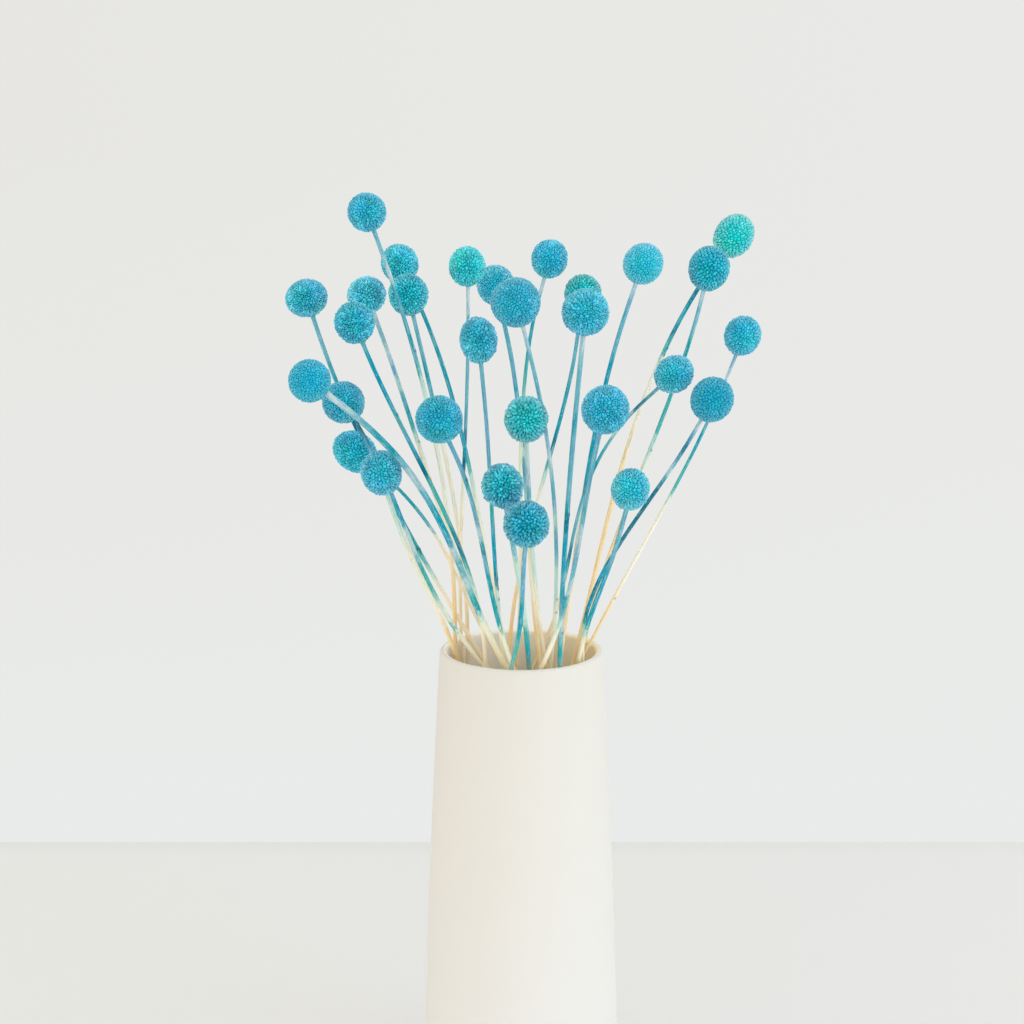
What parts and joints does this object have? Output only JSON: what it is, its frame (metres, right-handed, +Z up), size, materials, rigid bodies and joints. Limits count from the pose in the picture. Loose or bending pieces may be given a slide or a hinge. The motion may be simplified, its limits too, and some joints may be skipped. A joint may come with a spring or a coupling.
{
  "type": "vase of dried billy button flowers",
  "caption": "Dried, blue-dyed billy buttons: round heads of packed florets on thin bare stems, standing loosely in a tall tapered matte ceramic vase.",
  "frame": {"origin": "centre of the vase's underside", "axes": "+Z up along the vase's axis; -Y is the front of the arrangement and +X its right"},
  "size_m": [0.2755, 0.1785, 0.533],
  "materials": {
    "vase_ceramic": "matte",
    "dyed_florets": "matte",
    "dyed_stem": "matte"
  },
  "bodies": {
    "root": {"vase": "vase_ceramic", "head_01": "dyed_florets", "head_02": "dyed_florets", "head_03": "dyed_florets", "head_04": "dyed_florets", "head_05": "dyed_florets", "head_06": "dyed_florets", "head_07": "dyed_florets", "head_08": "dyed_florets", "head_09": "dyed_florets", "head_10": "dyed_florets", "head_11": "dyed_florets", "head_12": "dyed_florets", "head_13": "dyed_florets", "head_14": "dyed_florets", "head_15": "dyed_florets", "head_16": "dyed_florets", "head_17": "dyed_florets", "head_18": "dyed_florets", "head_19": "dyed_florets", "head_20": "dyed_florets", "head_21": "dyed_florets", "head_22": "dyed_florets", "head_23": "dyed_florets", "head_24": "dyed_florets", "head_25": "dyed_florets", "head_26": "dyed_florets", "head_27": "dyed_florets", "head_28": "dyed_florets", "head_29": "dyed_florets", "stem_01": "dyed_stem", "stem_02": "dyed_stem", "stem_03": "dyed_stem", "stem_04": "dyed_stem", "stem_05": "dyed_stem", "stem_06": "dyed_stem", "stem_07": "dyed_stem", "stem_08": "dyed_stem", "stem_09": "dyed_stem", "stem_10": "dyed_stem", "stem_11": "dyed_stem", "stem_12": "dyed_stem", "stem_13": "dyed_stem", "stem_14": "dyed_stem", "stem_15": "dyed_stem", "stem_16": "dyed_stem", "stem_17": "dyed_stem", "stem_18": "dyed_stem", "stem_19": "dyed_stem", "stem_20": "dyed_stem", "stem_21": "dyed_stem", "stem_22": "dyed_stem", "stem_23": "dyed_stem", "stem_24": "dyed_stem", "stem_25": "dyed_stem", "stem_26": "dyed_stem", "stem_27": "dyed_stem", "stem_28": "dyed_stem", "stem_29": "dyed_stem"}
  },
  "joints": []
}
